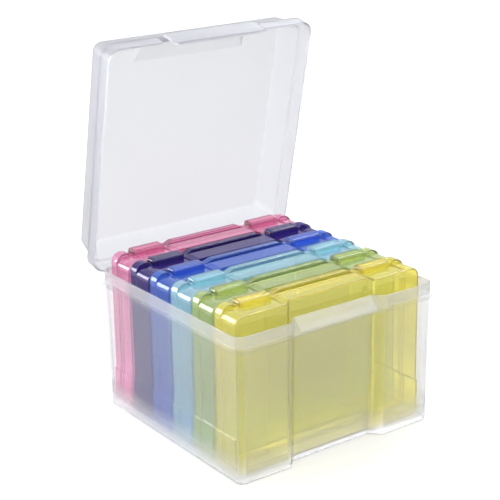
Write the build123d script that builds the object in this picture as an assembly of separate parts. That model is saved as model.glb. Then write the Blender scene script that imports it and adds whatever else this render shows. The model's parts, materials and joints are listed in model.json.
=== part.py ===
from build123d import *
import os
from math import atan, cos, degrees, radians, sin

# Millimetres. X runs along the front, Y from the front to the back, Z up; the foot stands on z = 0.

# ---- photo cases ----
COLOURS = ["yellow", "green", "skyblue", "royalblue", "purple", "pink"]
CASE_PITCH = 31.25
CASE_GAP = 0.35           # between neighbouring cases
CASE_LIFT = 0.3           # gap between the floor and a case
CASE_HALF = 95.0
CASE_LEDGE = 1.5          # how far the foot stands out below the side ledge
LEDGE_Z = 33.0
CASE_H = 136.4
CASE_R = 8.0
CASE_FOOT_R = 7.0
CASE_WALL = 1.6
FRONT_EDGE_R = 1.6        # rounding round the front face
BACK_EDGE_R = 2.6         # and round the back
CASE_T = CASE_PITCH - CASE_GAP
CASE_FOOT_HALF = CASE_HALF + CASE_LEDGE

PART_Y = 20.0             # parting plane, from the front face
PART_GAP = 0.1
CROWN_UP = 1.7            # raised middle of the base's top edge
LID_CROWN_UP = 0.2        # and of the lid's
CROWN_IN = 40.5
CROWN_RUN = 5.5
CROWN_DEEP = 3.0          # middle of the front face set back by this much
LIP_T = 0.9
LIP_TALL = 2.4
LIP_FIT = 0.12
CROWN_OUT = CROWN_IN + CROWN_RUN
CROWN_H = CASE_H + CROWN_UP
LID_CROWN = CASE_H + LID_CROWN_UP

LATCH_X = 62.5
LATCH_W = 32.0
LATCH_UP = 4.4            # above the case's top edge
LATCH_OVER = 2.8          # how far the cap reaches forward of the parting plane
LATCH_IN = 1.3            # how far its back stays short of the case's back
LATCH_T = 1.5
LATCH_R = 2.6
LATCH_EDGE_R = 2.4
CATCH_SHORT = 3.5         # catch shorter than the cap at each end
CATCH_UP = 0.9
CATCH_OUT = 1.0
LATCH_TOP = CASE_H + LATCH_UP
LATCH_NOSE = PART_Y - LATCH_OVER
LATCH_BACK = CASE_T - LATCH_IN
POCKET_END = 1.5          # shallow pocket reaches this far past the latch
POCKET_DEEP = 0.7
POCKET_FRONT = 2.8
POCKET_X = LATCH_X + LATCH_W / 2 + POCKET_END
RIDGE_UP = 3.4
RIDGE_IN = 35.0
RIDGE_RUN = 8.0
RIDGE_SET = 3.0           # ridge starts this far behind the parting plane
RIDGE_R = 1.2
RIDGE_H = CASE_H + RIDGE_UP
SHOULDER_UP = 2.8         # raised outer ends of the lid half's top
SHOULDER_RUN = 3.0
SHOULDER_R = 9.0
SHOULDER_TOP_R = 3.4
SHOULDER_FOOT_R = 1.5

CASE_HINGE_X = 60.0
CASE_PIN_R = 1.1
CASE_PIN_FIT = 0.08
CASE_EYE_R = 2.2
CASE_EYE_W = 12.0
CASE_EYE_LIFT = 0.2       # eye above the case's underside
CASE_LUG_T = 2.0
EYE_GAP = 0.4             # side play of an eye between its lugs

# ---- outer box ----
BOX_WALL = 1.8
BOX_FLOOR = 2.4
BOX_FLARE = 1.9           # how far every wall leans out by the rim
BOX_R = 7.0               # plan corner radius at the foot
FOOT_R = 2.2              # rounding round the foot
SIDE_GAP = 2.2            # beside the cases
BACK_GAP = 1.45           # behind the last case
FRONT_GAP = 7.8           # in front of the first case
CASE_PROUD = 12.1         # cases stand this far above the rim
BOX_W = 2 * (CASE_FOOT_HALF + SIDE_GAP + BOX_WALL)
BOX_D = len(COLOURS) * CASE_PITCH - CASE_GAP + BACK_GAP + FRONT_GAP + 2 * BOX_WALL
BOX_H = BOX_FLOOR + CASE_LIFT + CASE_H - CASE_PROUD
CASE_FRONT = -BOX_D / 2 + BOX_WALL + FRONT_GAP

RECESS_CLEAR = 2.3        # recess wall to the set-back middle of the first case
RECESS_RUN = 8.0          # how much wider the recess is where it meets the front
RECESS_R = 2.8
RECESS_IN = CROWN_IN
RECESS_OUT = RECESS_IN + RECESS_RUN
RECESS_DEEP = FRONT_GAP + CROWN_DEEP - RECESS_CLEAR

RIB_DROP = 9.8            # rim down to the bead the lid comes down on
RIB_TALL = 3.4
RIB_OUT = 2.6
RIB_TOP = BOX_H - RIB_DROP

# ---- hinge of the outer lid ----
HINGE_OUT = 9.0           # pin axis behind the foot of the back wall
HINGE_DROP = 1.7          # pin axis below the bead's top
HINGE_X = 62.0            # centre of each of the two hinges
PIN_R = 2.0
PIN_FIT = 0.08            # radial running clearance on the pin
KNUCKLE_WALL = 1.92
KNUCKLE_W = 26.2
LUG_R = 3.8
LUG_T = 3.2
LUG_GAP = 0.4             # side play of the knuckle between the lugs
LUG_FOOT = 11.5           # root of a lug, down from the pin axis
CLIP_MOUTH = 3.3          # snap opening of the knuckle
HEEL_T = 2.2
HEEL_STOP = 108.0         # opening angle where the heel meets the wall
HEEL_DIP = 25.8           # how far below level it points there
OPEN_ANGLE = 77.7         # rest pose, measured from shut
HINGE_Y = BOX_D / 2 + HINGE_OUT
HINGE_Z = RIB_TOP - HINGE_DROP
KNUCKLE_R = PIN_R + PIN_FIT + KNUCKLE_WALL

# ---- outer lid ----
SKIRT_GAP = 1.0
SKIRT_WALL = 1.7
SKIRT_LIFT = 0.4          # shut lid above the bead
STEP_UP = 3.8             # outside of the step, above the rim
STEP_T = 1.8
STEP_R = 1.4
DOME_IN = 3.1             # dome foot set in from the skirt
DOME_R = 12.5
DOME_LEAN = 4.6
DOME_ROOM = 11.5          # under the dome, above the cases
DOME_EDGE_R = 3.0
LID_WALL = 1.8
SKIRT_BOTTOM = RIB_TOP + SKIRT_LIFT
STEP_Z = BOX_H + STEP_UP
DOME_TOP = BOX_FLOOR + CASE_LIFT + RIDGE_H + DOME_ROOM + LID_WALL

TAB_X = 46.4              # half width of the latch tab
SLIT_W = 6.1              # gap in the skirt on each side of it
TAB_LONG = 8.8            # below the bead
TAB_T = 1.8
TAB_R = 3.0
TAB_CLEAR = 0.35          # tab bead to ramp edge
BEAD = 0.8
BEAD_TALL = 2.8
BEAD_DROP = 0.6           # bead under the ramp's edge
SLIT_X = TAB_X + SLIT_W
BEAD_TOP = RIB_TOP - BOX_WALL - BEAD_DROP
TAB_BOTTOM = BEAD_TOP - TAB_LONG

SCOOP_X = 51.0            # half width of the thumb scoop floor
SCOOP_SIDE = 6.0          # how far its ends slope outwards
SCOOP_SET = 8.0           # front of the scoop, from the foot of the front wall
SCOOP_LONG = 19.0
SCOOP_DEEP = 7.0
SCOOP_FRONT = -BOX_D / 2 + SCOOP_SET
SCOOP_BACK = SCOOP_FRONT + SCOOP_LONG

FLARE_ANGLE = degrees(atan(BOX_FLARE / BOX_H))
DOME_ANGLE = degrees(atan(DOME_LEAN / (DOME_TOP - STEP_Z)))


def flare_at(z):
    return BOX_FLARE * z / BOX_H


def wall_x(z):
    return BOX_W / 2 + flare_at(z)


def wall_y(z):
    return BOX_D / 2 + flare_at(z)


def round_rect(half_x, half_y, radius):
    return RectangleRounded(2 * half_x, 2 * half_y, radius)


def yz_prism(points, x_from, x_to):
    outline = Polyline(*[(0, y, z) for y, z in points], close=True)
    return Pos(x_from, 0, 0) * extrude(make_face(outline), amount=x_to - x_from, dir=(1, 0, 0))


def xz_prism(points, y_from, y_to):
    outline = Polyline(*[(x, y_from, z) for x, z in points], close=True)
    return extrude(make_face(outline), amount=y_to - y_from, dir=(0, 1, 0))


def x_rod(radius, length, y, z, x_mid=0.0):
    return Pos(x_mid, y, z) * Rot(0, 90, 0) * Cylinder(radius, length)


def block(x0, x1, y0, y1, z0, z1):
    return Pos((x0 + x1) / 2, (y0 + y1) / 2, (z0 + z1) / 2) * Box(x1 - x0, y1 - y0, z1 - z0)


# ---------------------------------------------------------------- outer box
def box_plan(grow):
    """Plan of the box with its front recess, every side moved out by grow."""
    hx = BOX_W / 2 + grow
    hy = BOX_D / 2 + grow
    slope = (RECESS_OUT - RECESS_IN) / RECESS_DEEP
    shift = grow * ((1 + slope ** 2) ** 0.5 - slope)
    x_out = RECESS_OUT - shift
    x_in = RECESS_IN - shift
    y_in = -hy + RECESS_DEEP
    points = [(-hx, -hy), (-x_out, -hy), (-x_in, y_in), (x_in, y_in), (x_out, -hy), (hx, -hy)]
    points = points + [(hx, hy), (-hx, hy)]
    plan = make_face(Polyline(*points, close=True))
    plan = fillet([v for v in plan.vertices() if abs(v.X) > hx - 0.01], BOX_R + grow)
    return fillet([v for v in plan.vertices() if abs(v.X) < x_out + 0.01], RECESS_R)


def tapered(plan, z0, z1):
    return extrude(Pos(0, 0, z0) * plan, amount=z1 - z0, taper=-FLARE_ANGLE)


def latch_ramp(grow, z_low):
    """Wedge filling the recess under the rim; grow < 0 gives its hollow inside."""
    y_rim = -wall_y(BOX_H) + RECESS_DEEP
    y_edge = -wall_y(RIB_TOP) - RIB_OUT
    rise = BOX_H - RIB_TOP
    run = y_rim - y_edge
    shift = -grow * (rise ** 2 + run ** 2) ** 0.5 / rise
    back = y_rim + BOX_WALL
    z_top = BOX_H - (shift - (back - y_rim)) * rise / run if grow < 0 else BOX_H
    if grow < 0:
        foot = y_edge + shift + (z_low - RIB_TOP) * run / rise
        points = [(back + 0.5, z_top), (foot, z_low), (back + 0.5, z_low)]
        return yz_prism(points, -RECESS_IN + 1.0, RECESS_IN - 1.0)
    points = [(y_rim + 0.6, BOX_H), (y_rim, BOX_H), (y_edge, RIB_TOP)]
    points = points + [(y_edge, z_low), (y_rim + 0.6, z_low)]
    return yz_prism(points, -RECESS_OUT - 0.4, RECESS_OUT + 0.4)


def hinge_lugs(x_mid):
    low = HINGE_Z - LUG_FOOT
    inside = wall_y(low) - BOX_WALL / 3
    root = [(inside, low), (inside, HINGE_Z - LUG_R / 2), (HINGE_Y - LUG_R * 0.7, HINGE_Z + LUG_R * 0.7),
            (HINGE_Y, HINGE_Z), (HINGE_Y + LUG_R * 0.42, HINGE_Z - LUG_R * 0.87)]
    pair = Part()
    for side in (-1, 1):
        x_lug = x_mid + side * (KNUCKLE_W / 2 + LUG_GAP + LUG_T / 2)
        neck = yz_prism(root, x_lug - LUG_T / 2, x_lug + LUG_T / 2)
        pair += neck + x_rod(LUG_R, LUG_T, HINGE_Y, HINGE_Z, x_lug)
    return pair + x_rod(PIN_R, KNUCKLE_W + 2 * LUG_GAP + LUG_T, HINGE_Y, HINGE_Z, x_mid)


def outer_box():
    body = tapered(box_plan(0), 0, BOX_H)
    body = fillet(body.faces().sort_by(Axis.Z)[0].edges(), FOOT_R)
    rib = tapered(box_plan(flare_at(RIB_TOP - RIB_TALL) + RIB_OUT), RIB_TOP - RIB_TALL, RIB_TOP)
    rib = rib - block(-RECESS_OUT, RECESS_OUT, -BOX_D, 0, RIB_TOP - RIB_TALL - 1, RIB_TOP + 1)
    for side in (-1, 1):
        half = KNUCKLE_W / 2 + LUG_GAP
        x_mid = side * HINGE_X
        rib = rib - block(x_mid - half, x_mid + half, 0, BOX_D, RIB_TOP - RIB_TALL - 1, RIB_TOP + 1)
    body = body + rib + latch_ramp(0, RIB_TOP - BOX_WALL)
    cavity = tapered(box_plan(flare_at(BOX_FLOOR) - BOX_WALL), BOX_FLOOR, BOX_H + 1)
    body = body - cavity - latch_ramp(-BOX_WALL, RIB_TOP)
    for side in (-1, 1):
        body = body + hinge_lugs(side * HINGE_X)
    return body


# ---------------------------------------------------------------- outer lid
def thumb_scoop(grow):
    """Pocket in the lid's top behind the latch tab; grow > 0 gives the skin round it."""
    z_high = DOME_TOP + 2.0
    z_low = DOME_TOP - SCOOP_DEEP - grow
    front = SCOOP_FRONT - grow
    section = [(SCOOP_BACK + grow, DOME_TOP - grow * 0.4), (SCOOP_FRONT + 1.0, z_low), (front, z_low + 1.0),
               (front - 1.2, z_high), (SCOOP_BACK + grow, z_high)]
    wide = SCOOP_X + SCOOP_SIDE + grow
    wedge = yz_prism(section, -wide, wide)
    x_low = SCOOP_X + grow - 0.6
    ends = [(-wide, z_high), (-wide + 0.5, DOME_TOP), (-x_low, z_low), (x_low, z_low),
            (wide - 0.5, DOME_TOP), (wide, z_high)]
    return wedge & xz_prism(ends, -BOX_D, 0)


def lid_knuckle(x_mid):
    eye = x_rod(KNUCKLE_R, KNUCKLE_W, HINGE_Y, HINGE_Z, x_mid)
    x_from = x_mid - KNUCKLE_W / 2
    skirt_in = wall_y(SKIRT_BOTTOM) + SKIRT_GAP
    web_top = HINGE_Z + KNUCKLE_R + 3.1
    web = [(skirt_in + 0.4, SKIRT_BOTTOM), (skirt_in + 0.4, web_top)]
    web = web + [(skirt_in + SKIRT_WALL + 0.2, web_top), (HINGE_Y, HINGE_Z + KNUCKLE_R)]
    web = web + [(HINGE_Y - 1.0, HINGE_Z + PIN_R + 0.4), (HINGE_Y - 3.4, SKIRT_BOTTOM)]
    dip = radians(HEEL_DIP)
    reach = (HINGE_Y - wall_y(HINGE_Z) - HEEL_T / 2 * sin(dip)) / cos(dip)
    root = PIN_R + PIN_FIT + 0.5
    turn = radians(HEEL_STOP + HEEL_DIP)
    along = (-cos(turn), -sin(turn))
    across = (-along[1], along[0])
    heel = []
    for length, half in ((root, -1), (reach, -1), (reach, 1), (root, 1)):
        heel.append((HINGE_Y + along[0] * length + across[0] * half * HEEL_T / 2,
                     HINGE_Z + along[1] * length + across[1] * half * HEEL_T / 2))
    knuckle = eye + yz_prism(web, x_from, x_from + KNUCKLE_W) + yz_prism(heel, x_from, x_from + KNUCKLE_W)
    bore = x_rod(PIN_R + PIN_FIT, KNUCKLE_W + 2, HINGE_Y, HINGE_Z, x_mid)
    half = KNUCKLE_W / 2 + 1
    mouth = block(x_mid - half, x_mid + half, -CLIP_MOUTH / 2, CLIP_MOUTH / 2, -2 * KNUCKLE_R, 0)
    mouth = Pos(0, HINGE_Y, HINGE_Z) * Rot(-20, 0, 0) * mouth
    return knuckle - bore - mouth


def latch_tab():
    y_in = -wall_y(RIB_TOP) - RIB_OUT - TAB_CLEAR - BEAD
    y_out = y_in - TAB_T
    y_dome = -wall_y(SKIRT_BOTTOM)
    low = BEAD_TOP - BEAD_TALL
    plate = [(y_in, TAB_BOTTOM), (y_in, low), (y_in + BEAD, low + BEAD), (y_in + BEAD, BEAD_TOP - BEAD),
             (y_in, BEAD_TOP),
             (y_in, STEP_Z - STEP_T), (y_dome, STEP_Z - STEP_T), (y_dome, STEP_Z), (y_out + 2.0, STEP_Z),
             (y_out, STEP_Z - 2.0), (y_out, TAB_BOTTOM + 2.0), (y_out - 1.0, TAB_BOTTOM)]
    tab = yz_prism(plate, -TAB_X, TAB_X)
    corners = [e for e in tab.edges().filter_by(Axis.Y) if e.center().Z < TAB_BOTTOM + 0.1]
    return fillet(corners, TAB_R)


def lid_shut():
    hx = wall_x(SKIRT_BOTTOM) + SKIRT_GAP
    hy = wall_y(SKIRT_BOTTOM) + SKIRT_GAP
    radius = BOX_R + flare_at(SKIRT_BOTTOM) + SKIRT_GAP
    skirt = Pos(0, 0, SKIRT_BOTTOM) * round_rect(hx + SKIRT_WALL, hy + SKIRT_WALL, radius + SKIRT_WALL)
    outer = extrude(skirt, amount=STEP_Z - SKIRT_BOTTOM)
    outer = fillet(outer.faces().sort_by(Axis.Z)[-1].edges(), STEP_R)
    dx = hx + SKIRT_WALL - DOME_IN
    dy = hy + SKIRT_WALL - DOME_IN
    foot = Pos(0, 0, STEP_Z - 1) * round_rect(dx, dy, DOME_R)
    dome = extrude(foot, amount=DOME_TOP - STEP_Z + 1, taper=DOME_ANGLE)
    dome = fillet(dome.faces().sort_by(Axis.Z)[-1].edges(), DOME_EDGE_R)
    outer = outer + dome - thumb_scoop(0)
    under = STEP_Z - STEP_T
    opening = Pos(0, 0, SKIRT_BOTTOM - 1) * round_rect(hx, hy, radius)
    void = extrude(opening, amount=under - SKIRT_BOTTOM + 1)
    foot = Pos(0, 0, under - 1) * round_rect(dx - LID_WALL, dy - LID_WALL, DOME_R - LID_WALL)
    hollow = extrude(foot, amount=DOME_TOP - LID_WALL - under + 1, taper=DOME_ANGLE)
    hollow = fillet(hollow.faces().sort_by(Axis.Z)[-1].edges(), DOME_EDGE_R - LID_WALL)
    shell = outer - (void + hollow - thumb_scoop(LID_WALL))
    cut_y = -hy + SKIRT_GAP / 2
    shell = shell - block(-SLIT_X, SLIT_X, -BOX_D, cut_y, SKIRT_BOTTOM - 1, under - 0.001)
    shell = shell + latch_tab()
    for side in (-1, 1):
        shell = shell + lid_knuckle(side * HINGE_X)
    return shell


def outer_lid():
    turn = Pos(0, HINGE_Y, HINGE_Z) * Rot(-OPEN_ANGLE, 0, 0) * Pos(0, -HINGE_Y, -HINGE_Z)
    return turn * lid_shut()


# ---------------------------------------------------------------- photo cases
def case_outline(inset, crown, lift):
    """Half turns of the case outline in X and Z, pulled in by inset; lift raises the outer ends."""
    top = CASE_H - inset
    foot = CASE_FOOT_HALF - inset
    side = CASE_HALF - inset
    ledge = LEDGE_Z - inset * 0.4
    right = [(foot, inset), (foot, ledge - CASE_LEDGE), (side, ledge), (side, top + lift)]
    if lift > 0:
        shift = POCKET_X + inset * 0.4
        right = right + [(shift + SHOULDER_RUN, top + lift), (shift, top)]
    right = right + [(CROWN_OUT - inset * 0.4, top), (CROWN_IN - inset * 0.4, crown - inset)]
    left = [(-x, z) for x, z in reversed(right)]
    return right + left


def case_slab(inset, crown, y0, y1, lift=0.0):
    points = [(x, y0, z) for x, z in case_outline(inset, crown, lift)]
    outline = make_face(Polyline(*points, close=True))
    high = [v for v in outline.vertices() if abs(v.X) > CASE_HALF - inset - 1 and v.Z > CASE_H / 2]
    outline = fillet(high, (SHOULDER_R if lift > 0 else CASE_R) - inset)
    low = [v for v in outline.vertices() if v.Z < inset + 0.01]
    outline = fillet(low, CASE_FOOT_R - inset)
    if lift > 0:
        x_peak = POCKET_X + inset * 0.4 + SHOULDER_RUN
        x_low = x_peak - SHOULDER_RUN
        peak = [v for v in outline.vertices() if abs(abs(v.X) - x_peak) < 0.01 and v.Z > CASE_H - inset]
        outline = fillet(peak, SHOULDER_TOP_R - inset)
        dip = [v for v in outline.vertices() if abs(abs(v.X) - x_low) < 0.01 and v.Z > CASE_H / 2]
        outline = fillet(dip, SHOULDER_FOOT_R)
    return extrude(outline, amount=y1 - y0, dir=(0, 1, 0))


def front_channel(grow):
    """The wide shallow channel down the middle of the front face."""
    deep = CROWN_DEEP + grow
    plan = [(-CROWN_OUT - grow * 0.4, -1.0), (-CROWN_OUT - grow * 0.4, 0.0), (-CROWN_IN - grow * 0.4, deep),
            (CROWN_IN + grow * 0.4, deep), (CROWN_OUT + grow * 0.4, 0.0), (CROWN_OUT + grow * 0.4, -1.0)]
    face = make_face(Polyline(*[(x, y, -5) for x, y in plan], close=True))
    return extrude(face, amount=CASE_H + 20, dir=(0, 0, 1))


def case_base():
    end = PART_Y - PART_GAP
    body = case_slab(0, CROWN_H, 0, end)
    front = [e for e in body.edges() if abs(e.center().Y) < 0.001]
    body = fillet(front, FRONT_EDGE_R)
    body = body - front_channel(0)
    hollow = case_slab(CASE_WALL, CROWN_H, CASE_WALL, end + 1) - front_channel(CASE_WALL)
    body = body - hollow
    inset = CASE_WALL + LIP_FIT
    bore = case_slab(inset + LIP_T, LID_CROWN, end - 4, end + 4)
    lip = case_slab(inset, LID_CROWN, end - 3, end + LIP_TALL) - bore
    step = case_slab(CASE_WALL - 0.4, CROWN_H, end - 3, end - 1) - bore
    body = body + lip + step
    for side in (-1, 1):
        x0, x1 = sorted((side * (CROWN_OUT + 0.2), side * POCKET_X))
        body = body - block(x0, x1, POCKET_FRONT, PART_Y + 5, CASE_H - POCKET_DEEP, CASE_H + 5)
        x_mid = side * LATCH_X
        half = LATCH_W / 2 - CATCH_SHORT
        catch_low = CASE_H - CASE_WALL
        catch = block(x_mid - half, x_mid + half, end - CATCH_OUT, end, catch_low, CASE_H + CATCH_UP)
        body = body + catch
        body = base_hinge(body, side * CASE_HINGE_X)
    return body


def base_hinge(body, x_mid):
    reach = CASE_EYE_W / 2 + EYE_GAP
    axis_z = CASE_EYE_R + CASE_EYE_LIFT
    top = axis_z + CASE_EYE_R
    body = body - block(x_mid - reach, x_mid + reach, PART_Y - CASE_EYE_R - 0.8, PART_Y + 6, -1, top + 0.8)
    for side in (-1, 1):
        x_lug = x_mid + side * (reach + CASE_LUG_T / 2)
        half = CASE_LUG_T / 2
        body = body + x_rod(CASE_EYE_R, CASE_LUG_T, PART_Y, axis_z, x_lug)
        body = body + block(x_lug - half, x_lug + half, PART_Y - 2.5, PART_Y, CASE_EYE_LIFT, top)
    return body + x_rod(CASE_PIN_R, 2 * (reach + CASE_LUG_T) - 1, PART_Y, axis_z, x_mid)


def lid_hinge(body, x_mid):
    reach = CASE_EYE_W / 2 + EYE_GAP + CASE_LUG_T + 0.3
    axis_z = CASE_EYE_R + CASE_EYE_LIFT
    top = axis_z + CASE_EYE_R
    body = body - block(x_mid - reach, x_mid + reach, PART_Y - 1, PART_Y + CASE_EYE_R + 1, -1, top + 0.8)
    x0 = x_mid - CASE_EYE_W / 2
    x1 = x_mid + CASE_EYE_W / 2
    arm = block(x0, x1, PART_Y, PART_Y + 2 * CASE_EYE_R, CASE_EYE_LIFT, axis_z)
    eye = x_rod(CASE_EYE_R, CASE_EYE_W, PART_Y, axis_z, x_mid) + arm
    eye = eye - x_rod(CASE_PIN_R + CASE_PIN_FIT, CASE_EYE_W + 2, PART_Y, axis_z, x_mid)
    half = CASE_PIN_R * 0.82
    eye = eye - block(x0 - 1, x1 + 1, PART_Y - 2 * CASE_EYE_R, PART_Y, axis_z - half, axis_z + half)
    return body + eye


def latch(x_mid):
    """Rounded snap latch: a cap from the lid over the catch on the base."""
    half = LATCH_W / 2
    cap = block(x_mid - half, x_mid + half, LATCH_NOSE, LATCH_BACK, CASE_H - 2.0, LATCH_TOP)
    cap = fillet(cap.edges().filter_by(Axis.Z), LATCH_R)
    cap = fillet(cap.faces().sort_by(Axis.Z)[-1].edges(), LATCH_EDGE_R)
    inner = half - LATCH_T
    split = PART_Y + PART_GAP
    room = block(x_mid - inner, x_mid + inner, LATCH_NOSE + LATCH_T, split, CASE_H - 3, LATCH_TOP - LATCH_T)
    z_low = CASE_H - POCKET_DEEP + 0.25
    low = block(x_mid - half - 1, x_mid + half + 1, LATCH_NOSE - 1, split, CASE_H - 4, z_low)
    return cap - room - low


def case_lid():
    start = PART_Y + PART_GAP
    body = case_slab(0, LID_CROWN, start, CASE_T, SHOULDER_UP)
    back = [e for e in body.edges() if abs(e.center().Y - CASE_T) < 0.001]
    body = fillet(back, BACK_EDGE_R)
    out = RIDGE_IN + RIDGE_RUN
    low = CASE_H - CASE_WALL
    half = [(out, low), (out, CASE_H), (RIDGE_IN, RIDGE_H)]
    section = half + [(-x, z) for x, z in reversed(half)]
    ridge = xz_prism(section, PART_Y + RIDGE_SET, LATCH_BACK)
    long_edges = [e for e in ridge.edges() if e.center().Z > RIDGE_H - 0.01 and abs(e.center().X) < 1]
    body = body + fillet(long_edges, RIDGE_R)
    for side in (-1, 1):
        body = body + latch(side * LATCH_X)
    body = body - case_slab(CASE_WALL, LID_CROWN, start - 1, CASE_T - CASE_WALL)
    body = body - case_slab(CASE_WALL, LID_CROWN, start + CASE_WALL, CASE_T - CASE_WALL, SHOULDER_UP)
    for side in (-1, 1):
        body = lid_hinge(body, side * CASE_HINGE_X)
    return body


def place_case(piece, index):
    return Pos(0, CASE_FRONT + index * CASE_PITCH, BOX_FLOOR + CASE_LIFT) * piece


def save(piece, node):
    solids = piece.solids()
    size = [round(v, 1) for v in piece.bounding_box().size]
    print(node, len(solids), "solid", size, "valid", piece.is_valid)
    export_step(piece, "parts/" + node + ".step")


os.makedirs("parts", exist_ok=True)
save(outer_box(), "outer_box")
save(outer_lid(), "outer_lid")
BASE = case_base()
LID = case_lid()
for index, colour in enumerate(COLOURS):
    save(place_case(BASE, index), colour + "_base")
    save(place_case(LID, index), colour + "_lid")
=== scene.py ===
# %% [markdown]
# # Photo keeper case, dressed for a studio picture
# The object is a clear storage box with a hinged, domed lid and six coloured photo cases in a row.
# Every piece of it is a thin-walled moulding, so all the shape comes from the CAD frame, and the
# look comes from three plastics: a clear box, a hazier lid and the dyed cases.
# The frame is loaded first and never moved. Lengths are in metres.

# %% Load the frame
import json
import math

import bpy
from mathutils import Matrix, Vector

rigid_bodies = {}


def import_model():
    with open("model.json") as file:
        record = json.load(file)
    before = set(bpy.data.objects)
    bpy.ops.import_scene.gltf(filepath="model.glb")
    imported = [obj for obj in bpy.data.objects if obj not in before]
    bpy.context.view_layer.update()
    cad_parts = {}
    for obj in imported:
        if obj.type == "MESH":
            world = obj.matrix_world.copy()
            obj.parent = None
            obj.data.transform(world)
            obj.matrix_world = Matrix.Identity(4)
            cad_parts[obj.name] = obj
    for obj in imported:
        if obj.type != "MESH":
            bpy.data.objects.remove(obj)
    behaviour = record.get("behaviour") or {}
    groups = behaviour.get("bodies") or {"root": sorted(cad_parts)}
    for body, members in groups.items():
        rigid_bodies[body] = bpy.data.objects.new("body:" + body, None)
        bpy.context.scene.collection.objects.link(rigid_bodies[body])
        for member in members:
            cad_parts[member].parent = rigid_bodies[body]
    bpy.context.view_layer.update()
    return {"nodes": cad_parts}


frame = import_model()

# %% [markdown]
# ## Small helpers
# A material here is mostly masks, which are numbers from 0 to 1 that change over the surface,
# turned into the values a shader wants. Two nodes do nearly all of that: Map Range for a number and
# Mix for a colour. Each is wrapped once, so that the cells below read as what they make.

# %% Helpers: number and colour from a mask
def mapped(nodes, links, value, low, high, start=0.0, end=1.0):
    """Take value from the range start..end to the range low..high."""
    node = nodes.new("ShaderNodeMapRange")
    node.inputs["From Min"].default_value = start
    node.inputs["From Max"].default_value = end
    node.inputs["To Min"].default_value = low
    node.inputs["To Max"].default_value = high
    links.new(value, node.inputs["Value"])
    return node.outputs["Result"]


def colour_between(nodes, links, mask, low, high):
    node = nodes.new("ShaderNodeMix")
    node.data_type = "RGBA"
    node.inputs["A"].default_value = (*low, 1.0)
    node.inputs["B"].default_value = (*high, 1.0)
    links.new(mask, node.inputs["Factor"])
    return node.outputs["Result"]


def combined(nodes, links, operation, first, second):
    """One Math node on two sockets, or on a socket and a plain number."""
    node = nodes.new("ShaderNodeMath")
    node.operation = operation
    links.new(first, node.inputs[0])
    if isinstance(second, float):
        node.inputs[1].default_value = second
    else:
        links.new(second, node.inputs[1])
    return node.outputs["Value"]


print("helpers ready")

# %% [markdown]
# ## How a moulding catches light
# A moulded wall is never perfectly even. The melt cools in soft clouds, the gloss has a faint
# orange peel from the tool, and sliding the cases in and out leaves fine rubs that run one way.
# All three are worked out from Object coordinates, so they stay sharp from close by and keep their
# real size: noise at about 70 mm for the clouds, 2.4 mm for the peel, and a stretched, thresholded
# noise for the rubs. One shader node group makes them, and each plastic says how strong they are.

# %% Group: moulded surface
GRAIN_SIZES = {"Cloud Size": 14.0, "Peel Size": 420.0, "Rub Size": 90.0}
RUB_STRETCH = (1.0, 0.22, 6.0)
RUB_TURN = (0.3, 0.9, 0.4)
RUB_FROM, RUB_TO = 0.55, 0.8


def noise(nodes, links, place, scale, detail, roughness):
    node = nodes.new("ShaderNodeTexNoise")
    node.inputs["Detail"].default_value = detail
    node.inputs["Roughness"].default_value = roughness
    links.new(place, node.inputs["Vector"])
    links.new(scale, node.inputs["Scale"])
    return node.outputs["Fac"]


def moulded_surface_group():
    group = bpy.data.node_groups.new("moulded_surface", "ShaderNodeTree")
    face = group.interface
    for name, value in GRAIN_SIZES.items():
        socket = face.new_socket(name, in_out="INPUT", socket_type="NodeSocketFloat")
        socket.default_value = value
    for name in ("Clouds", "Peel", "Rubs"):
        face.new_socket(name, in_out="OUTPUT", socket_type="NodeSocketFloat")
    nodes, links = group.nodes, group.links
    sizes = nodes.new("NodeGroupInput").outputs
    results = nodes.new("NodeGroupOutput").inputs
    place = nodes.new("ShaderNodeTexCoord").outputs["Object"]

    links.new(noise(nodes, links, place, sizes["Cloud Size"], 3.0, 0.45), results["Clouds"])
    links.new(noise(nodes, links, place, sizes["Peel Size"], 1.5, 0.5), results["Peel"])

    stretch = nodes.new("ShaderNodeMapping")
    stretch.inputs["Scale"].default_value = RUB_STRETCH
    stretch.inputs["Rotation"].default_value = RUB_TURN
    links.new(place, stretch.inputs["Vector"])
    rubs = noise(nodes, links, stretch.outputs["Vector"], sizes["Rub Size"], 5.0, 0.7)
    links.new(mapped(nodes, links, rubs, 0.0, 1.0, RUB_FROM, RUB_TO), results["Rubs"])
    return group


SURFACE = moulded_surface_group()
print("group outputs:", [s.name for s in SURFACE.interface.items_tree if s.in_out == "OUTPUT"])

# %% [markdown]
# ## A clear or dyed plastic
# Real dyed plastic does three things at once, and each has its own part of the material:
# - The surface reflects, refracts and scatters a little: a Principled shader, whose transmission is
#   the clear share and whose rest is the haze.
# - The dye takes more light the longer the way through it, which is why edges look deeper than
#   walls: a plain Volume Absorption, worked out from what one wall lets through.
# - Light from the lamps reaches the inside: for shadow rays the wall is a tinted Transparent, which
#   is much less noisy than waiting for a path to find a lamp through two walls.
#
# Moulded edges are never knife sharp, so the Bevel node rounds the shading over the last part of a
# millimetre, and the orange peel sits on top of it as a very weak bump.

# %% Material maker
WALL = 0.0016
EDGE_ROUND = 0.0007
EDGE_SAMPLES = 6
PEEL_STRENGTH = 0.05
PEEL_DEPTH = 0.0001
LAMP_LIGHT_KEPT = 0.9
DENSITY_HEADROOM = 1.05


def absorbing_depth(nodes, wall_pass):
    """Volume Absorption that lets the share wall_pass of each colour through one wall."""
    taken = [-math.log(share) / WALL for share in wall_pass]
    density = DENSITY_HEADROOM * max(taken)
    depth = nodes.new("ShaderNodeVolumeAbsorption")
    depth.inputs["Density"].default_value = density
    depth.inputs["Color"].default_value = (*[1.0 - value / density for value in taken], 1.0)
    return depth.outputs["Volume"]


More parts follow.
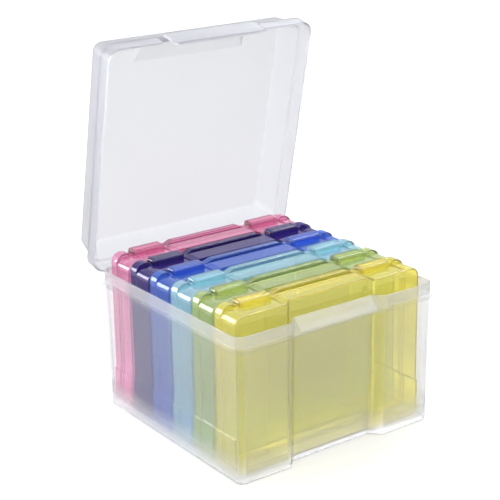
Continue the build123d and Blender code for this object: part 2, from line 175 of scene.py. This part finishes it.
def plastic(name, low, high, wall_pass, clear, rough, ior):
    material = bpy.data.materials.new(name)
    material.use_nodes = True
    nodes, links = material.node_tree.nodes, material.node_tree.links
    shader = nodes["Principled BSDF"]
    shader.inputs["Transmission Weight"].default_value = clear
    shader.inputs["IOR"].default_value = ior
    surface = nodes.new("ShaderNodeGroup")
    surface.node_tree = SURFACE
    colour = colour_between(nodes, links, surface.outputs["Clouds"], low, high)
    links.new(colour, shader.inputs["Base Color"])
    gloss = mapped(nodes, links, surface.outputs["Rubs"], *rough)
    links.new(gloss, shader.inputs["Roughness"])

    rounded = nodes.new("ShaderNodeBevel")
    rounded.samples = EDGE_SAMPLES
    rounded.inputs["Radius"].default_value = EDGE_ROUND
    bump = nodes.new("ShaderNodeBump")
    bump.inputs["Strength"].default_value = PEEL_STRENGTH
    bump.inputs["Distance"].default_value = PEEL_DEPTH
    links.new(rounded.outputs["Normal"], bump.inputs["Normal"])
    links.new(surface.outputs["Peel"], bump.inputs["Height"])
    links.new(bump.outputs["Normal"], shader.inputs["Normal"])

    output = nodes["Material Output"]
    links.new(absorbing_depth(nodes, wall_pass), output.inputs["Volume"])
    ray = nodes.new("ShaderNodeLightPath")
    lit_through = nodes.new("ShaderNodeBsdfTransparent")
    tint = (*[share * LAMP_LIGHT_KEPT for share in wall_pass], 1.0)
    lit_through.inputs["Color"].default_value = tint
    choose = nodes.new("ShaderNodeMixShader")
    links.new(ray.outputs["Is Shadow Ray"], choose.inputs["Fac"])
    links.new(shader.outputs["BSDF"], choose.inputs[1])
    links.new(lit_through.outputs["BSDF"], choose.inputs[2])
    links.new(choose.outputs["Shader"], output.inputs["Surface"])
    return material


def dress(node, material):
    for slot in frame["nodes"][node].material_slots:
        slot.material = material


print("wall behind every tint:", WALL * 1000, "mm")

# %% [markdown]
# ## The outer box
# Natural polypropylene: clear enough to see the cases through the walls, but the rim band, which
# the bead doubles, is clearly milkier. The foot is made milkier too, and that is painted light: the
# whiter haze there stands in for the light of the white floor showing up through the wall's bottom.
# Two materials would leave a seam. Instead the same plastic is thinned with Alpha by height: low
# along the wall, much higher above the bead after a short change, and up to full again, more
# slowly, towards the foot.

# %% Outer box
POLYPROPYLENE_IOR = 1.49
BEAD_FROM, BEAD_TO = 0.1155, 0.1175
FOOT_FROM, FOOT_TO = 0.002, 0.026
WALL_BODY, BAND_BODY, FOOT_BODY = 0.20, 0.72, 1.0

box_plastic = plastic(
    "box_polypropylene",
    low=(0.88, 0.884, 0.893),
    high=(0.90, 0.904, 0.912),
    wall_pass=(0.955, 0.957, 0.963),
    clear=0.70,
    rough=(0.06, 0.09),
    ior=POLYPROPYLENE_IOR,
)
nodes, links = box_plastic.node_tree.nodes, box_plastic.node_tree.links
split = nodes.new("ShaderNodeSeparateXYZ")
links.new(nodes.new("ShaderNodeTexCoord").outputs["Object"], split.inputs["Vector"])
height = split.outputs["Z"]
band = mapped(nodes, links, height, WALL_BODY, BAND_BODY, BEAD_FROM, BEAD_TO)
# painted light: the haze rising towards the foot paints in the floor's light under the wall
foot = mapped(nodes, links, height, FOOT_BODY, WALL_BODY, FOOT_FROM, FOOT_TO)
body = combined(nodes, links, "MAXIMUM", band, foot)
links.new(body, nodes["Principled BSDF"].inputs["Alpha"])
dress("outer_box", box_plastic)
print("wall body:", WALL_BODY, "from", FOOT_TO, "to", BEAD_FROM)

# %% [markdown]
# ## The outer lid
# The same kind of plastic with a finer matt finish inside: nothing behind it can be made out, and
# it is one even pale grey against a white room. That is a rougher transmission. A lower index than
# the real one keeps its edges from drawing hard dark lines, which the haze does on the real lid.

# %% Outer lid
SOFTENED_IOR = 1.3

lid_plastic = plastic(
    "lid_polypropylene",
    low=(0.90, 0.903, 0.918),
    high=(0.93, 0.933, 0.945),
    wall_pass=(0.905, 0.907, 0.918),
    clear=0.90,
    rough=(0.46, 0.52),
    ior=SOFTENED_IOR,
)
dress("outer_lid", lid_plastic)
print("lid index:", SOFTENED_IOR)

# %% [markdown]
# ## The photo cases
# Glossy dyed styrene, one dye for each case, with the high index that styrene has. Each entry is
# the surface tint at its weakest and strongest cloud, what one wall lets through, and the clear
# share: the brighter dyes carry a little more pigment than the rest. Lid and base of a case share
# one material, since they are moulded from the same batch.

# %% Photo cases
STYRENE_IOR = 1.59
CASE_GLOSS = (0.02, 0.04)
DYES = {
    "yellow": ((0.995, 0.955, 0.42), (0.998, 0.97, 0.48), (0.999, 0.982, 0.67), 0.84),
    "green": ((0.87, 0.93, 0.64), (0.90, 0.95, 0.69), (0.95, 0.97, 0.80), 0.88),
    "skyblue": ((0.74, 0.95, 0.995), (0.79, 0.965, 0.995), (0.88, 0.98, 0.995), 0.82),
    "royalblue": ((0.20, 0.47, 0.97), (0.26, 0.53, 0.98), (0.50, 0.70, 0.98), 0.84),
    "purple": ((0.17, 0.08, 0.58), (0.22, 0.12, 0.64), (0.46, 0.30, 0.81), 0.88),
    "pink": ((0.98, 0.67, 0.82), (0.99, 0.72, 0.85), (0.985, 0.77, 0.89), 0.88),
}
for dye, (low, high, wall_pass, clear) in DYES.items():
    styrene = plastic(dye + "_styrene", low, high, wall_pass, clear, CASE_GLOSS, STYRENE_IOR)
    dress(dye + "_base", styrene)
    dress(dye + "_lid", styrene)
print("materials:", sorted(m.name for m in bpy.data.materials if m.users))

# %% [markdown]
# ## The floor
# A sheet of white paper, large enough that its edge is out of sight. It must read as white without
# more lamps, so it adds a little light of its own to what the camera sees, and the shadow of the
# object stays on it. Clear plastic on a white table is lit through its foot as well, and that light
# is painted into the paper: rays that come through the plastic see a glowing patch right under the
# object and plain paper further out.

# %% Floor
FLOOR_SIDE = 8.0
PAPER = (0.86, 0.86, 0.86, 1.0)
PAPER_GLOW = 0.25
PATCH_GLOW, FAR_GLOW = 1.5, 0.05
PATCH_FROM, PATCH_TO = 0.12, 0.2

bpy.ops.mesh.primitive_plane_add(size=FLOOR_SIDE, location=(0.0, 0.0, 0.0))
floor = bpy.context.object
floor.name = "studio_floor"
paper = bpy.data.materials.new("floor_paper")
paper.use_nodes = True
nodes, links = paper.node_tree.nodes, paper.node_tree.links
sheet = nodes["Principled BSDF"]
sheet.inputs["Base Color"].default_value = PAPER
sheet.inputs["Roughness"].default_value = 0.9
sheet.inputs["Emission Color"].default_value = (1.0, 1.0, 1.0, 1.0)
away = nodes.new("ShaderNodeVectorMath")
away.operation = "LENGTH"
links.new(nodes.new("ShaderNodeTexCoord").outputs["Object"], away.inputs[0])
# painted light: the paper glows brightest right under the object, for rays through the plastic
patch = mapped(nodes, links, away.outputs["Value"], PATCH_GLOW, FAR_GLOW, PATCH_FROM, PATCH_TO)
ray = nodes.new("ShaderNodeLightPath").outputs
direct = combined(nodes, links, "MULTIPLY", ray["Is Camera Ray"], PAPER_GLOW)
through = combined(nodes, links, "MULTIPLY", ray["Is Transmission Ray"], patch)
glow = combined(nodes, links, "ADD", direct, through)
links.new(glow, sheet.inputs["Emission Strength"])
floor.data.materials.append(paper)
print("floor side:", floor.dimensions[0], "m")

# %% [markdown]
# ## The room
# White all round, because clear plastic shows what is round it. The camera and the rays that come
# through a wall see plain white. Everything else is lit by a room that is a little darker low down
# than overhead, which gives the pale walls their shape, and reflections see it slightly dimmer.
# In a studio a white card hangs over such an object, so that every rounded edge carries a light
# line. The card here is a bright cap of the room that only reflections see, so it adds no light to
# the matt surfaces.

# %% World
ROOM_LOW, ROOM_HIGH = 0.6, 1.1
ROOM_FROM, ROOM_TO = -0.1, 0.7
GLOSS_DIMMING = -0.2
CARD = 2.0
CARD_FROM, CARD_TO = 0.70, 0.80

world = bpy.data.worlds.new("studio")
bpy.context.scene.world = world
world.use_nodes = True
nodes, links = world.node_tree.nodes, world.node_tree.links
room = nodes["Background"]
room.inputs["Color"].default_value = (1.0, 1.0, 1.0, 1.0)
split = nodes.new("ShaderNodeSeparateXYZ")
links.new(nodes.new("ShaderNodeTexCoord").outputs["Generated"], split.inputs["Vector"])
up = split.outputs["Z"]
ray = nodes.new("ShaderNodeLightPath").outputs
dimmed = nodes.new("ShaderNodeMath")
dimmed.operation = "MULTIPLY_ADD"
dimmed.inputs[1].default_value = GLOSS_DIMMING
dimmed.inputs[2].default_value = 1.0
links.new(ray["Is Glossy Ray"], dimmed.inputs[0])
walls = mapped(nodes, links, up, ROOM_LOW, ROOM_HIGH, ROOM_FROM, ROOM_TO)
walls = combined(nodes, links, "MULTIPLY", walls, dimmed.outputs["Value"])
card = mapped(nodes, links, up, 0.0, CARD, CARD_FROM, CARD_TO)
card = combined(nodes, links, "MULTIPLY", ray["Is Glossy Ray"], card)
lit = combined(nodes, links, "ADD", walls, card)
seen = combined(nodes, links, "MAXIMUM", ray["Is Camera Ray"], ray["Is Transmission Ray"])
level = nodes.new("ShaderNodeMix")
level.inputs["B"].default_value = 1.0
links.new(seen, level.inputs["Factor"])
links.new(lit, level.inputs["A"])
links.new(level.outputs["Result"], room.inputs["Strength"])
print("room from", ROOM_LOW, "low to", ROOM_HIGH, "overhead, card", CARD)

# %% [markdown]
# ## The lamps
# Gloss is told by its highlights. A tall, narrow softbox behind on the left puts the bright blocks
# on the rounded corners of the cases, a thin strip high up on the right draws the lines along their
# top edges and latches, and a broad weak one on the left fills the long wall.
# A smaller lamp of the same power makes a crisper highlight and no more light, so the strip is
# thin.

# %% Lamps
def softbox(name, place, aim, size, power):
    lamp = bpy.data.lights.new(name, "AREA")
    lamp.shape = "RECTANGLE"
    lamp.size, lamp.size_y = size
    lamp.energy = power
    holder = bpy.data.objects.new(name, lamp)
    bpy.context.collection.objects.link(holder)
    direction = Vector(aim) - Vector(place)
    holder.rotation_euler = direction.to_track_quat("-Z", "Y").to_euler()
    holder.location = place


softbox("top_softbox", (0.95, 0.45, 1.35), (0.0, 0.0, 0.12), (0.9, 0.14), 4.0)
softbox("left_softbox", (-1.5, -0.6, 0.9), (0.0, 0.0, 0.1), (0.8, 1.0), 3.5)
softbox("rim_softbox", (-1.25, 1.55, 0.66), (0.0, 0.0, 0.12), (0.4, 1.1), 12.0)

# %% [markdown]
# ## The camera
# A long lens from the front left, a little above the rim, so that the verticals stay almost
# parallel. The turn, the downward tilt and a small roll are applied in that order.

# %% Camera
CAMERA_PLACE = (-0.6719, -0.9092, 0.5386)
CAMERA_YAW, CAMERA_PITCH, CAMERA_ROLL = 35.849, 18.966, -0.903
CAMERA_LENS = 101.27
SENSOR = 36.0

eye = bpy.data.cameras.new("studio_camera")
eye.lens = CAMERA_LENS
eye.sensor_width = SENSOR
camera = bpy.data.objects.new("studio_camera", eye)
bpy.context.collection.objects.link(camera)
yaw = Matrix.Rotation(math.radians(-CAMERA_YAW), 4, "Z")
pitch = Matrix.Rotation(math.radians(90.0 - CAMERA_PITCH), 4, "X")
roll = Matrix.Rotation(math.radians(CAMERA_ROLL), 4, "Z")
camera.matrix_world = Matrix.Translation(CAMERA_PLACE) @ yaw @ pitch @ roll
bpy.context.scene.camera = camera
print("camera at", CAMERA_PLACE, "lens", CAMERA_LENS)

# %% [markdown]
# ## Light through many walls
# A line of sight through the row of cases crosses more than twenty walls. The default number of
# bounces would stop it in black, so the limits are raised to what the row needs.

# %% Ray limits
ALL_BOUNCES, THROUGH_BOUNCES, OPEN_BOUNCES = 40, 36, 64

scene = bpy.context.scene
scene.view_settings.view_transform = "Standard"
scene.cycles.max_bounces = ALL_BOUNCES
scene.cycles.transmission_bounces = THROUGH_BOUNCES
scene.cycles.transparent_max_bounces = OPEN_BOUNCES
print("bounces:", ALL_BOUNCES)
